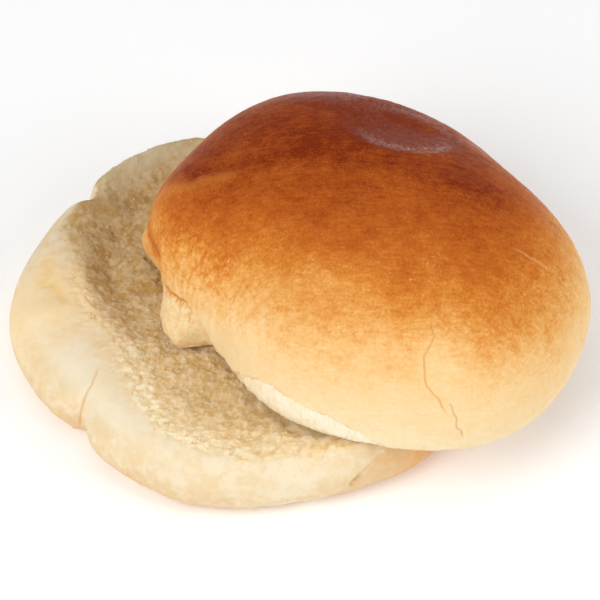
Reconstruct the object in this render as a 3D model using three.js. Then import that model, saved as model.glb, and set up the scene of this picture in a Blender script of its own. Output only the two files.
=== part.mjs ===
// A soft round bread roll that has been cut in two: the bottom half lies cut side up, and the
// domed top half rests on it, slid to one side and hanging over its edge.
//
// Millimetres, +Z up. Angles are in degrees, measured from +X towards +Y. Each half is modelled
// about its own middle, and the whole is moved at the end so that its origin is in the middle of
// the ground that it covers, on the table.

import * as THREE from "three";

const { degToRad, radToDeg, lerp, smoothstep } = THREE.MathUtils;

// ---------------------------------------------------------------- driving dimensions

// The outline of each half is a mean radius with a few gentle lobes on it, [count, height, angle
// of a lobe]. Both halves are drawn out towards the front right and the back left, and both are
// flat at the front left, where the roll was baked against the next one on the tray.
const HEEL_RADIUS = 57;
const HEEL_LOBES = [
  [2, 3.8, 134],
  [3, 1.4, 93],
  [4, 0.8, 80],
  [5, 1, 39],
];
const CROWN_RADIUS = 52.3;
const CROWN_LOBES = [
  [2, 6.3, 133],
  [4, 0.6, 81],
  [5, 0.5, 28],
  [6, 0.8, 59],
];

// The bottom half, from the table up.
const HEEL_FOOT = 9; // how far in from the widest line the flat base ends
const HEEL_WIDEST = 8; // height of the widest line
const HEEL_RIM = 18.6; // height of the rim, where the skin meets the cut face
const HEEL_FACE = 16.8; // height of the cut face inside the rim
const HEEL_LIP = 12; // how far in from the rim the cut face levels out
const HEEL_SHOULDER = 4; // how far in from the widest line the rim stands
const LEFT_SHOULDER = { angle: 198, width: 16.5, spread: 50 }; // the wide rolled left side
const LEFT_RISE = { angle: 150, height: 1.3, spread: 48 }; // the rim is higher there
const GUTTER = { angle: 165, spread: 34, inset: 11, width: 7, depth: 0.9 }; // valley inside it
const BACK_CLEFT = { angle: 136.5, depth: 3.4, spread: 3.6 }; // in the left end of the far rim
const FRONT_PINCH = { angle: 220, depth: 3, spread: 4.5 }; // corner at the foot of the left side
const PINCH_TOP = 0.7; // how far up the side, from 0 to 1, that corner reaches
const CLEFT_FADE = 5; // the power of the way in at which the cleft closes up on the cut face
const SHOULDER_RIDGE = { angle: 184, height: 0.9, spread: 5 }; // soft fold across the shoulder

// The top half, from its cut face up.
const CROWN_HEIGHT = 40.6; // cut face to the top of the dome
const CROWN_WIDEST = 7; // height of the widest line
const CROWN_TUCK = 2.5; // how far the skin turns in below the widest line
const CROWN_HOLLOW = 1.4; // how far the middle of the cut face arches up
const CROWN_LEAN = [-4, -1]; // how far the top of the dome stands off the middle
const DOME_POWER = 0.95; // 1 is a round dome, and less is fuller at the shoulders
const CROWN_SHIFT = [33.3, 1.8]; // how far the top half was slid off the bottom half
const DIMPLE = { x: 8, y: 26, depth: 2.4, across: 14, along: 9 }; // sunken place in the crust

// At its left end the skin of the top half was pulled off the next roll: a torn lobe stands out
// and droops at the lower edge, and above it a pinched lip sticks out. Both fade upwards.
const TORN_LOBE = { from: 180, full: 197, end: 200, stop: 208, out: 8, droop: 1.2, top: 12 };
const TIP_FOLD = { angle: 167, out: 3.8, spread: 4.5, from: 5, top: 15 };
const EDGE_FADE = 6; // the power at which the cut face goes over to the plain edge of the skin

// The crumb of both cut faces is uneven, in lumps about this far apart.
const CRUMB_LUMP = 9;
const CRUMB_RELIEF = 0.6;

const SEGMENTS = 108; // round each half
const HEEL_RINGS = { base: 4, foot: 4, side: 6, cut: 12 };
const CROWN_RINGS = { cut: 8, tuck: 3, dome: 15 };
const SEAT_SAMPLES = { round: 360, cut: 40, side: 20 }; // where the halves are compared
const PIECE_GAP = 0.3; // the least distance between the two halves

// ---------------------------------------------------------------- rules that both halves share

// How far an angle lies from another, from -180 to 180.
const turn = (angle, from) => ((((angle - from + 180) % 360) + 360) % 360) - 180;

// A smooth bump of height 1 that fades out over the given spread.
const bump = (distance, spread) => Math.exp(-((distance / spread) ** 2));

const near = (angle, { angle: centre, spread }) => bump(turn(angle, centre), spread);

const polar = (angle, radius, z) => {
  const a = degToRad(angle);
  return [radius * Math.cos(a), radius * Math.sin(a), z];
};

const lobed = (angle, radius, lobes) =>
  lobes.reduce((r, [count, height, peak]) => {
    return r + height * Math.cos(degToRad(count * (angle - peak)));
  }, radius);

// Unevenness of torn crumb, from about -1 to 1: broad lumps with finer ones on them.
function crumbLumps(x, y) {
  const k = Math.PI / CRUMB_LUMP;
  const broad = Math.sin(k * (0.9 * x + 0.35 * y) + 1.3) * Math.sin(k * (0.85 * y - 0.4 * x) + 0.4);
  const fine = Math.sin(k * (1.9 * x - 0.7 * y)) * Math.sin(k * (0.8 * x + 1.7 * y) + 2.1);
  return 0.65 * broad + 0.35 * fine;
}

// Makes one closed surface from rings of points that run round +Z, the first and the last of them
// shrunk to a point. ring(angle) gives [x, y, z], and the rings go from the underside outwards,
// up, and back in over the top.
function closedSkin(rings) {
  const points = [];
  const add = (point) => points.push(...point) / 3 - 1;
  const angles = Array.from({ length: SEGMENTS }, (_, i) => (360 * i) / SEGMENTS);
  const bottom = add(rings[0](0));
  const loops = rings.slice(1, -1).map((ring) => angles.map((angle) => add(ring(angle))));
  const top = add(rings.at(-1)(0));

  const faces = [];
  for (let i = 0; i < SEGMENTS; i++) {
    const next = (i + 1) % SEGMENTS;
    faces.push(bottom, loops[0][next], loops[0][i]);
    for (let j = 0; j + 1 < loops.length; j++) {
      const [a, b] = [loops[j][i], loops[j][next]];
      const [c, d] = [loops[j + 1][i], loops[j + 1][next]];
      if ((i + j) % 2) {
        faces.push(a, b, d, a, d, c);
      } else {
        faces.push(a, b, c, b, d, c);
      }
    }
    faces.push(loops.at(-1)[i], loops.at(-1)[next], top);
  }

  const geometry = new THREE.BufferGeometry();
  geometry.setAttribute("position", new THREE.Float32BufferAttribute(points, 3));
  geometry.setIndex(faces);
  geometry.computeVertexNormals();
  return geometry;
}

// Equal steps from 0 to 1, without the 0.
const steps = (count) => Array.from({ length: count }, (_, i) => (i + 1) / count);

// ---------------------------------------------------------------- the bottom half

const cleft = (angle) => BACK_CLEFT.depth * near(angle, BACK_CLEFT);

// The outline, with the cleft at the back. The corner at the front left is as deep as `pinch`,
// from 0 to 1.
function heelOutline(angle, pinch) {
  const corner = FRONT_PINCH.depth * near(angle, FRONT_PINCH) * pinch;
  return lobed(angle, HEEL_RADIUS, HEEL_LOBES) - cleft(angle) - corner;
}

const heelShoulder = (angle) => HEEL_SHOULDER + LEFT_SHOULDER.width * near(angle, LEFT_SHOULDER);

const heelRim = (angle) => HEEL_RIM + LEFT_RISE.height * near(angle, LEFT_RISE);

const rimRadius = (angle) => heelOutline(angle, 0) - heelShoulder(angle);

// The skin from the widest line (climb 0) over the shoulder to the rim (climb 1).
function heelSide(angle, climb) {
  const a = (climb * Math.PI) / 2;
  const ridge = SHOULDER_RIDGE.height * near(angle, SHOULDER_RIDGE) * Math.sin(2 * a);
  const outline = heelOutline(angle, 1 - smoothstep(climb, 0, PINCH_TOP));
  const radius = outline - heelShoulder(angle) * (1 - Math.cos(a));
  return polar(angle, radius, lerp(HEEL_WIDEST, heelRim(angle), Math.sin(a)) + ridge);
}

// The cut face, from the middle (share 0) to the rim (share 1). The cleft closes up inwards.
function heelCut(angle, share) {
  const radius = rimRadius(angle) * share + cleft(angle) * (share - share ** CLEFT_FADE);
  const [x, y] = polar(angle, radius, 0);
  const inset = rimRadius(angle) * (1 - share);
  const level = smoothstep(inset, 0, HEEL_LIP);
  const gutter = GUTTER.depth * near(angle, GUTTER) * bump(inset - GUTTER.inset, GUTTER.width);
  const face = HEEL_FACE + CRUMB_RELIEF * crumbLumps(x, y);
  return [x, y, lerp(heelRim(angle), face, level) - gutter * level];
}

function heelRings() {
  const base = [0, ...steps(HEEL_RINGS.base)].map((share) => {
    return (angle) => polar(angle, (heelOutline(angle, 1) - HEEL_FOOT) * share, 0);
  });
  const foot = steps(HEEL_RINGS.foot).map((climb) => {
    const a = (climb * Math.PI) / 2;
    const z = HEEL_WIDEST * (1 - Math.cos(a));
    return (angle) => polar(angle, heelOutline(angle, 1) - HEEL_FOOT * (1 - Math.sin(a)), z);
  });
  const side = steps(HEEL_RINGS.side).map((climb) => (angle) => heelSide(angle, climb));
  const cut = steps(HEEL_RINGS.cut).map((share) => (angle) => heelCut(angle, 1 - share));
  return [...base, ...foot, ...side, ...cut];
}

// ---------------------------------------------------------------- the top half

// How far the skin is pulled out at a torn lobe, from 0 to 1: it rises slowly and ends in a tear.
const tornLobe = (angle) => {
  const { from, full, end, stop } = TORN_LOBE;
  return smoothstep(angle, from, full) * (1 - smoothstep(angle, end, stop));
};

// The outline at a height above the cut face: the torn lobe and the pinched lip fade upwards.
function crownOutline(angle, height) {
  const lobe = tornLobe(angle) * (1 - smoothstep(height, 0, TORN_LOBE.top));
  const fold = near(angle, TIP_FOLD) * (1 - smoothstep(height, TIP_FOLD.from, TIP_FOLD.top));
  const plain = lobed(angle, CROWN_RADIUS, CROWN_LOBES);
  return plain + TORN_LOBE.out * lobe + TIP_FOLD.out * fold;
}

// The cut face, from the middle (share 0) to the edge of the skin (share 1).
function crownCut(angle, share) {
  const [x, y] = polar(angle, (crownOutline(angle, 0) - CROWN_TUCK) * share, 0);
  const arch = CROWN_HOLLOW * (1 - share ** 3);
  const edge = share ** EDGE_FADE;
  const relief = CRUMB_RELIEF * crumbLumps(x, y) * (1 - edge);
  return [x, y, arch + relief - TORN_LOBE.droop * tornLobe(angle) * edge];
}

// The skin that turns in from the widest line (climb 1) to the cut face (climb 0).
function crownTuck(angle, climb) {
  const a = ((climb - 1) * Math.PI) / 2;
  const z = CROWN_WIDEST * (1 + Math.sin(a));
  const radius = crownOutline(angle, z) - CROWN_TUCK * (1 - Math.cos(a));
  return polar(angle, radius, z - TORN_LOBE.droop * tornLobe(angle) * (1 - climb));
}

// The dome, from the widest line (climb 0) to its top (climb 1).
function crownDome(angle, climb) {
  const slope = ((1 - climb) * Math.PI) / 2;
  const share = Math.sin(slope) ** DOME_POWER;
  const rise = Math.cos(slope) ** DOME_POWER;
  const z = lerp(CROWN_WIDEST, CROWN_HEIGHT, rise);
  const [flatX, flatY] = polar(angle, crownOutline(angle, z) * share, 0);
  const [x, y] = [flatX + CROWN_LEAN[0] * rise, flatY + CROWN_LEAN[1] * rise];
  const dent = bump(x - DIMPLE.x, DIMPLE.across) * bump(y - DIMPLE.y, DIMPLE.along);
  return [x, y, z - DIMPLE.depth * dent];
}

function crownRings() {
  const cut = [0, ...steps(CROWN_RINGS.cut)].map((share) => (angle) => crownCut(angle, share));
  const tuck = steps(CROWN_RINGS.tuck).map((climb) => (angle) => crownTuck(angle, climb));
  const dome = steps(CROWN_RINGS.dome).map((climb) => (angle) => crownDome(angle, climb));
  return [...cut, ...tuck, ...dome];
}

// The height at which the top half just clears the bottom half: every point of the bottom half's
// upper side that lies under the cut face is compared with it.
function crownSeat() {
  const upper = [
    ...steps(SEAT_SAMPLES.cut).map((share) => (angle) => heelCut(angle, share)),
    ...steps(SEAT_SAMPLES.side).map((climb) => (angle) => heelSide(angle, climb)),
  ];
  let seat = 0;
  for (const round of steps(SEAT_SAMPLES.round)) {
    for (const ring of upper) {
      const [x, y, top] = ring(360 * round);
      const [dx, dy] = [x - CROWN_SHIFT[0], y - CROWN_SHIFT[1]];
      const angle = (radToDeg(Math.atan2(dy, dx)) + 360) % 360;
      const share = Math.hypot(dx, dy) / (crownOutline(angle, 0) - CROWN_TUCK);
      if (share <= 1) {
        seat = Math.max(seat, top - crownCut(angle, share)[2]);
      }
    }
  }
  return seat + PIECE_GAP;
}

// ---------------------------------------------------------------- the two pieces

const heel = new THREE.Mesh(
  closedSkin(heelRings()),
  new THREE.MeshStandardMaterial({ color: 0xf0dcb0, roughness: 0.85, metalness: 0 }),
);
heel.name = "bottom_half";

const crown = new THREE.Mesh(
  closedSkin(crownRings()),
  new THREE.MeshStandardMaterial({ color: 0xc9752c, roughness: 0.45, metalness: 0 }),
);
crown.name = "top_half";
crown.position.set(...CROWN_SHIFT, crownSeat());

const roll = new THREE.Group();
roll.add(heel, crown);

const box = new THREE.Box3().setFromObject(roll, true);
const middle = box.getCenter(new THREE.Vector3());
roll.position.set(-middle.x, -middle.y, 0);

export default roll;
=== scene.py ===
"""A soft round bread roll, cut through and left open.

The bottom half, a baker's heel, lies cut side up, and the glossy browned top half, the crown, rests
askew on it. Shapes are worked out in millimetres about the middle of each half, with angles in
degrees from +X towards +Y.
"""

import bmesh
import bpy
import numpy as np
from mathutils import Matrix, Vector, noise


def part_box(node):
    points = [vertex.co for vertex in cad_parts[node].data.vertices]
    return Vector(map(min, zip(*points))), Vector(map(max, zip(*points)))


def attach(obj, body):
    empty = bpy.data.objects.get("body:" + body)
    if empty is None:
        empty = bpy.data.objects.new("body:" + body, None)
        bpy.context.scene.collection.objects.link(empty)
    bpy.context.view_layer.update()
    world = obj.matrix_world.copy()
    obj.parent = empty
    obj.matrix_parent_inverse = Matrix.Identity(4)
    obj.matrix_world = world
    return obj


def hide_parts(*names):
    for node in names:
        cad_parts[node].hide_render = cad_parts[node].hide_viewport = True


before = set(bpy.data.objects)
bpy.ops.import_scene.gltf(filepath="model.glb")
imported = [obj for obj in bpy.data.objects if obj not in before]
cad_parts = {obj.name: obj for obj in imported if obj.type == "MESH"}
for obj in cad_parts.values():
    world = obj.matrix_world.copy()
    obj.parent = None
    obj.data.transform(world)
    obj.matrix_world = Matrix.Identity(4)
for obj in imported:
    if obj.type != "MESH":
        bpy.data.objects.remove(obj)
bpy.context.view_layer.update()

# ---------------------------------------------------------------- table, lamps and camera
# The roll lies on a plain white table in a white studio. Broad soft lamps stand to both sides of
# the camera, one hangs above, and a low white panel behind the roll shines in the glossy crust.

MM = 0.001
VIEW_ELEVATION = 48
VIEW_DISTANCE = 900
VIEW_TARGET = Vector((0.87, -3.19, 20))
LENS = 216
SENSOR_WIDTH = 36
NEAREST_SEEN = 0.05

tilt = np.radians(VIEW_ELEVATION)
towards_camera = Vector((0, -np.cos(tilt), np.sin(tilt)))
camera = bpy.data.objects.new("camera", bpy.data.cameras.new("camera"))
camera.data.sensor_width = SENSOR_WIDTH
camera.data.lens = LENS
camera.data.clip_start = NEAREST_SEEN
camera.location = (VIEW_TARGET + towards_camera * VIEW_DISTANCE) * MM
camera.rotation_euler = towards_camera.to_track_quat("Z", "Y").to_euler()
bpy.context.scene.collection.objects.link(camera)
bpy.context.scene.camera = camera

# Each lamp is a soft square that faces the roll: its place and width in metres, and its power.
LAMPS = {
    "left_lamp": ((-0.56, -0.52, 0.66), 0.65, 5.8),
    "right_lamp": ((0.8, -0.3, 0.5), 0.6, 3.7),
    "top_lamp": ((0, -0.1, 1.0), 0.6, 1.5),
    "back_panel": ((0.5, 1.0, 0.2), 0.8, 0.9),
}

for name, (place, width, power) in LAMPS.items():
    lamp = bpy.data.objects.new(name, bpy.data.lights.new(name, "AREA"))
    lamp.data.size = width
    lamp.data.energy = power
    lamp.location = place
    lamp.rotation_euler = Vector(place).to_track_quat("Z", "Y").to_euler()
    lamp.visible_camera = False
    bpy.context.scene.collection.objects.link(lamp)


def add(tree, kind, inputs=None, **settings):
    """A node with its settings and inputs, of which each is a number, a colour or a link."""
    made = tree.nodes.new(kind)
    for name, value in settings.items():
        setattr(made, name, value)
    for name, value in (inputs or {}).items():
        if isinstance(value, bpy.types.NodeSocket):
            tree.links.new(value, made.inputs[name])
        else:
            made.inputs[name].default_value = value
    return made.outputs


def colour_ramp(tree, value, stops):
    """Colours that run into each other as the value grows."""
    ramp = tree.nodes.new("ShaderNodeValToRGB")
    tree.links.new(value, ramp.inputs[0])
    marks = ramp.color_ramp.elements
    for place, colour in stops:
        stop = marks[0] if place == 0 else marks[-1] if place == 1 else marks.new(place)
        stop.color = colour
    return ramp.outputs[0]


# The room's walls glow, from the level of the table, 0, up to overhead, 1.
ROOM_BRIGHTNESS = 0.6
ROOM_GLOW = [
    (0, (0.96, 0.98, 1, 1)),
    (0.1, (0.9, 0.94, 1, 1)),
    (0.35, (0.55, 0.55, 0.55, 1)),
    (1, (0.5, 0.5, 0.5, 1)),
]

room = bpy.data.worlds.new("white_room")
room.use_nodes = True
bpy.context.scene.world = room
upwards = add(room.node_tree, "ShaderNodeTexCoord")["Generated"]
upwards = add(room.node_tree, "ShaderNodeSeparateXYZ", {0: upwards})[2]
walls = room.node_tree.nodes["Background"]
room.node_tree.links.new(colour_ramp(room.node_tree, upwards, ROOM_GLOW), walls.inputs["Color"])
walls.inputs["Strength"].default_value = ROOM_BRIGHTNESS
bpy.context.scene.view_settings.view_transform = "Standard"

TABLE_WIDTH = 3
TABLE_FINISH = {
    "Base Color": (0.97, 0.97, 0.97, 1),
    "Roughness": 0.9,
    "Emission Color": (1, 1, 1, 1),
    "Emission Strength": 0.1,
}


def finish_with(shader, finish):
    """Sets values that are the same all over a surface on the shader's own sockets."""
    for name, value in finish.items():
        shader.inputs[name].default_value = value


half = TABLE_WIDTH / 2
corners = [(-half, -half, 0), (half, -half, 0), (half, half, 0), (-half, half, 0)]
table = bpy.data.objects.new("table", bpy.data.meshes.new("table"))
table.data.from_pydata(corners, [], [(0, 1, 2, 3)])
bpy.context.scene.collection.objects.link(table)
table_white = bpy.data.materials.new("table_white")
table_white.use_nodes = True
finish_with(table_white.node_tree.nodes["Principled BSDF"], TABLE_FINISH)
table.data.materials.append(table_white)

# ---------------------------------------------------------------- bottom half
# The flat base of the roll: soft white bread with a thin pale skin, lying cut side up. At the left
# and front it was baked against other rolls, so the skin there stayed pale and rolls over softly.
# The cut face is torn open crumb, and the underside and the right side are baked golden.

HEEL_RADIUS = 57
HEEL_LOBES = [(2, 3.8, 134), (3, 1.4, 93), (4, 0.8, 80), (5, 1, 39)]
HEEL_FOOT = 9
HEEL_WIDEST = 8
HEEL_RIM = 18.6
HEEL_FACE = 16.8
HEEL_LIP = 12
HEEL_SHOULDER = 4
CRUMB_LUMP = 9
CRUMB_RELIEF = 0.6

# What departs from the even round: how far, at which angle, and over what spread.
HEEL_CLEFT = (3.4, 136.5, 3.6)
HEEL_PINCH = (3, 220, 4.5)
PINCH_TOP = 0.7
SOFT_SHOULDER = (16.5, 198, 50)
RAISED_RIM = (1.3, 150, 48)
SIDE_RIDGE = (0.9, 184, 5)
GUTTER = (0.9, 165, 34)
GUTTER_INSET = 11
GUTTER_WIDTH = 7

# Points round the heel, set closer at the torn front left, and the rings of them from the middle of
# its underside to the middle of its cut face.
HEEL_COLUMNS = 600
HEEL_CLOSER = (1.3, 205, 75)
UNDERSIDE_SHARES = (0, 0.3, 0.7, 0.9, 1)
FOOT_RINGS = 9
SIDE_RINGS = 36
SIDE_CROWDING = 1.25
CUT_RINGS = 97
CUT_MIDDLE = 0.22
MIDDLE_SHARES = (0.16, 0.08, 0)


def bell(value, middle, spread):
    """1 at the middle value, fading out over the spread."""
    return np.exp(-(((value - middle) / spread) ** 2))


def degrees_from(angle, middle):
    """How far round an angle lies from the middle one, -180 to 180."""
    return (angle - middle + 180) % 360 - 180


def near(angle, middle, spread):
    """1 at the middle angle, fading out over the spread."""
    return bell(degrees_from(angle, middle), 0, spread)


def swell(angle, size, middle, spread):
    """A swelling of this size at the middle angle, fading out over the spread."""
    return size * near(angle, middle, spread)


def swellings(angle, rows):
    """Several swellings added up."""
    return sum(swell(angle, *row) for row in rows)


def spot(x, y, middle, spread):
    """1 in the middle of an oval spot, fading out over its spread in x and in y."""
    return np.exp(-(((x - middle[0]) / spread[0]) ** 2) - ((y - middle[1]) / spread[1]) ** 2)


def fade(value, start, end):
    """Goes smoothly from 0 at the start to 1 at the end."""
    share = np.clip((value - start) / (end - start), 0, 1)
    return share * share * (3 - 2 * share)


def steps(count):
    """Even steps from just past 0 up to 1."""
    return np.linspace(0, 1, count + 1)[1:]


def spaced_angles(count, closer):
    """Angles round the roll, set closer together about one of them."""
    fine = np.arange(3600) / 10
    total = np.concatenate([[0], np.cumsum(1 + swell(fine, *closer))])
    return np.interp(np.arange(count) * total[-1] / count, total, np.append(fine, 360))


def lobed(angle, radius, lobes):
    """A round outline with gentle waves in it: how many, how high, and where one peaks."""
    return radius + sum(h * np.cos(np.radians(n * (angle - peak))) for n, h, peak in lobes)


def polar(angle, radius, z):
    """A ring of points at these radii and heights."""
    a = np.radians(angle)
    return np.stack([radius * np.cos(a), radius * np.sin(a), z + 0 * angle], axis=-1)


def crumb_lumps(x, y):
    """The broad unevenness of a torn face: two crossed sets of waves that run askew."""
    k = np.pi / CRUMB_LUMP
    broad = np.sin(k * (0.9 * x + 0.35 * y) + 1.3) * np.sin(k * (0.85 * y - 0.4 * x) + 0.4)
    fine = np.sin(k * (1.9 * x - 0.7 * y)) * np.sin(k * (0.8 * x + 1.7 * y) + 2.1)
    return 0.65 * broad + 0.35 * fine


heel_angle = spaced_angles(HEEL_COLUMNS, HEEL_CLOSER)
cleft = swell(heel_angle, *HEEL_CLEFT)
pinch = swell(heel_angle, *HEEL_PINCH)
shoulder = HEEL_SHOULDER + swell(heel_angle, *SOFT_SHOULDER)
rim_height = HEEL_RIM + swell(heel_angle, *RAISED_RIM)
heel_outline = lobed(heel_angle, HEEL_RADIUS, HEEL_LOBES) - cleft
rim_radius = heel_outline - shoulder
foot_radius = heel_outline - pinch - HEEL_FOOT


def heel_foot(climb):
    """A ring of the rounded foot, from the table up to the widest part of the side."""
    a = climb * np.pi / 2
    radius = heel_outline - pinch - HEEL_FOOT * (1 - np.sin(a))
    return polar(heel_angle, radius, HEEL_WIDEST * (1 - np.cos(a)))


def heel_side(climb):
    """A ring of the side, from its widest part up over the shoulder to the rim."""
    a = climb * np.pi / 2
    ridge = swell(heel_angle, *SIDE_RIDGE) * np.sin(2 * a)
    radius = heel_outline - pinch * (1 - fade(climb, 0, PINCH_TOP)) - shoulder * (1 - np.cos(a))
    return polar(heel_angle, radius, HEEL_WIDEST + (rim_height - HEEL_WIDEST) * np.sin(a) + ridge)


def heel_cut(share):
    """A ring of the cut face, from the rim, 1, to the middle, 0."""
    ring = polar(heel_angle, rim_radius * share + cleft * (share - share**5), 0)
    inset = rim_radius * (1 - share)
    level = fade(inset, 0, HEEL_LIP)
    gutter = swell(heel_angle, *GUTTER) * bell(inset, GUTTER_INSET, GUTTER_WIDTH)
    face = HEEL_FACE + CRUMB_RELIEF * crumb_lumps(ring[:, 0], ring[:, 1])
    ring[:, 2] = rim_height + (face - rim_height) * level - gutter * level
    return ring


heel_rings = [polar(heel_angle, foot_radius * share, 0) for share in UNDERSIDE_SHARES]
heel_rings += [heel_foot(climb) for climb in steps(FOOT_RINGS)]
heel_rings += [heel_side(climb) for climb in 1 - (1 - steps(SIDE_RINGS)) ** SIDE_CROWDING]
heel_rim_ring = len(heel_rings) - 1
heel_rings += [heel_cut(share) for share in np.linspace(1, CUT_MIDDLE, CUT_RINGS + 1)[1:]]
heel_rings += [heel_cut(share) for share in MIDDLE_SHARES]
heel_rings = np.array(heel_rings)

# Points this close, in metres, are welded. Noise is stretched to reach about 1, and each seed moves
# it on. A line laid on a surface has steps this long, wanders in waves this wide, and marks nothing
# farther off than the margin. A crease has its full depth between two shares of its length.
SAME_POINT = 1e-7
NOISE_REACH = 1.6
SEED_STEP = 37.1
LINE_STEP = 0.6
LINE_WANDER = 2.5
LINE_MARGIN = 6
CREASE_START = 0.12
CREASE_END = 0.85


def distance_up(rings, start):
    """How far each point lies along the surface from the ring at the start, in millimetres."""
    gaps = np.linalg.norm(np.diff(rings, axis=0), axis=-1)
    travelled = np.concatenate([np.zeros((1, rings.shape[1])), np.cumsum(gaps, axis=0)])
    return travelled - travelled[start]


def mark(mesh, marks):
    """Stores numbers for each point of the mesh, for its relief and its colours to follow."""
    for label, values in marks.items():
        layer = mesh.attributes.get(label) or mesh.attributes.new(label, "FLOAT", "POINT")
        layer.data.foreach_set("value", np.asarray(values, dtype=np.float32).ravel())


def take_mark(mesh, label):
    """Reads the numbers stored under a label and removes them from the mesh."""
    values = np.zeros(len(mesh.vertices), dtype=np.float32)
    mesh.attributes[label].data.foreach_get("value", values)
    mesh.attributes.remove(mesh.attributes[label])
    return values


def points_of(mesh):
    """The mesh's points in millimetres."""
    places = np.zeros(len(mesh.vertices) * 3, dtype=np.float32)
    mesh.vertices.foreach_get("co", places)
    return places.reshape(-1, 3) / MM


def closed_skin(name, rings, marks):
    """A closed mesh through rings of points that start and end in a single point."""
    count, columns = rings.shape[:2]
    index = np.arange(count * columns).reshape(count, columns)
    beside = np.roll(index, -1, axis=1)
    quads = np.stack([index[:-1], beside[:-1], beside[1:], index[1:]], axis=-1)
    mesh = bpy.data.meshes.new(name)
    mesh.from_pydata((rings * MM).reshape(-1, 3).tolist(), [], quads.reshape(-1, 4).tolist())
    mark(mesh, marks)
    shell = bmesh.new()
    shell.from_mesh(mesh)
    bmesh.ops.remove_doubles(shell, verts=shell.verts, dist=SAME_POINT)
    for face in shell.faces:
        face.smooth = True
    shell.to_mesh(mesh)
    shell.free()
    piece = bpy.data.objects.new(name, mesh)
    bpy.context.scene.collection.objects.link(piece)
    return piece


def shift_to_node(rings, node):
    """How far the rings have to move to lie on the CAD node."""
    low, high = (np.array(corner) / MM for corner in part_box(node))
    shift = (low + high) / 2 - (rings.min(axis=(0, 1)) + rings.max(axis=(0, 1))) / 2
    shift[2] = low[2] - rings[..., 2].min()
    return shift


def lumps(points, size, seed=0):
    """Smooth noise from about -1 to 1, its lumps about as wide as the size."""
    return np.array([noise.noise(p) for p in points / size + seed * SEED_STEP]) * NOISE_REACH


def lengths_along(line):
    """How far along a line each of its points lies."""
    return np.concatenate([[0], np.cumsum(np.linalg.norm(np.diff(line, axis=0), axis=1))])


def lay_down(points, path, jitter, seed):
    """Lays a line through a few places down on the points of a surface, a little unevenly."""
    path = np.array(path, dtype=float)
    reached = lengths_along(path)
    stations = np.linspace(0, reached[-1], int(reached[-1] / LINE_STEP) + 2)
    line = np.stack([np.interp(stations, reached, axis) for axis in path.T], axis=1)
    line += jitter * np.stack([lumps(line, LINE_WANDER, seed + turn) for turn in range(3)], axis=1)
    line = np.array([points[np.argmin(((points - place) ** 2).sum(axis=1))] for place in line])
    line[1:-1] = (line[:-2] + 2 * line[1:-1] + line[2:]) / 4
    return line


def follow(points, line):
    """How far the points are from a line, and how far along it they are, 0 to 1."""
    reached = lengths_along(line)
    nearest = np.full(len(points), np.inf)
    along = np.zeros(len(points))
    low, high = line.min(axis=0) - LINE_MARGIN, line.max(axis=0) + LINE_MARGIN
    near_by = np.flatnonzero(((points > low) & (points < high)).all(axis=1))
    for start, end, before, after in zip(line, line[1:], reached, reached[1:]):
        span = end - start
        away = points[near_by] - start
        share = np.clip(away @ span / max(span @ span, 1e-9), 0, 1)
        gap = np.linalg.norm(away - share[:, None] * span, axis=1)
        closer = gap < nearest[near_by]
        along[near_by[closer]] = ((before + share * (after - before)) / reached[-1])[closer]
        nearest[near_by[closer]] = gap[closer]
    return nearest, along


def gap_to(points, lines):
    """How far each point is from the nearest of some lines."""
    return np.min([follow(points, line)[0] for line in lines], axis=0)


def refine(mesh, chosen, cuts):
    """Divides the faces between the chosen points into smaller ones."""
    shell = bmesh.new()
    shell.from_mesh(mesh)
    shell.verts.ensure_lookup_table()
    edges = [e for e in shell.edges if chosen[e.verts[0].index] and chosen[e.verts[1].index]]
    bmesh.ops.subdivide_edges(shell, edges=edges, cuts=cuts, use_grid_fill=True)
    shell.to_mesh(mesh)
    shell.free()


def press_creases(points, creases, lines):
    """How deep each point is pressed in, and how strongly each kind of crease marks it."""
    carve = np.zeros(len(points))
    marks = {}
    for (kind, _, width, depth), line in zip(creases, lines):
        gap, along = follow(points, line)
        strength = bell(gap, 0, width) * fade(along, 0, CREASE_START) * (1 - fade(along, CREASE_END, 1))
        carve += depth * strength
        marks[kind] = np.maximum(marks.get(kind, 0 * strength), strength)
    return carve, marks


# Creases pressed into the skin while it was soft: what shows in each, where it runs, and its width
# and depth. The left rim is pinched and yellow in two places. The last two rows are the edge of a
# flap of skin that was baked on the open side, and the hole left under it; the fold's line and the
# hole are darkened with painted shade.
HEEL_CREASES = [
    ("golden_line", [(-34.5, -22, 18.2), (-35.9, -26.4, 16.9), (-38.4, -31, 12.8),
                     (-39.5, -31.5, 5.2)], 0.3, 0.3),
    ("yellow_pinch", [(-48.6, 15, 18.4), (-48.7, 8.8, 18.4), (-48.8, 3, 18.4)], 2, 0.25),
    ("yellow_pinch", [(-47.8, 6.6, 18.8), (-45.6, 2, 19.1), (-43, -2.2, 19.4)], 1.4, 0.25),
    ("flap_fold", [(36, -46.6, 15.2), (34.7, -47.6, 14.4), (31, -49.9, 11.5),
                   (27.4, -51.5, 7.6)], 0.8, 0.35),
    ("flap_hole", [(30.6, -50.1, 11.2), (29, -50.9, 9.6), (27.4, -51.5, 7.6)], 0.7, 0.05),
]
CREASE_MARGIN = 1.6

heel_shift = shift_to_node(heel_rings, "bottom_half")
from_rim = distance_up(heel_rings, heel_rim_ring)
bottom_half = closed_skin("bottom_half_bread", heel_rings + heel_shift, {"from_rim": from_rim})
heel_mesh = bottom_half.data
heel_points = points_of(heel_mesh) - heel_shift
heel_lines = [lay_down(heel_points, path, jitter=0.3, seed=1) for _, path, _, _ in HEEL_CREASES]
refine(heel_mesh, gap_to(heel_points, heel_lines) < CREASE_MARGIN, cuts=2)

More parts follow.
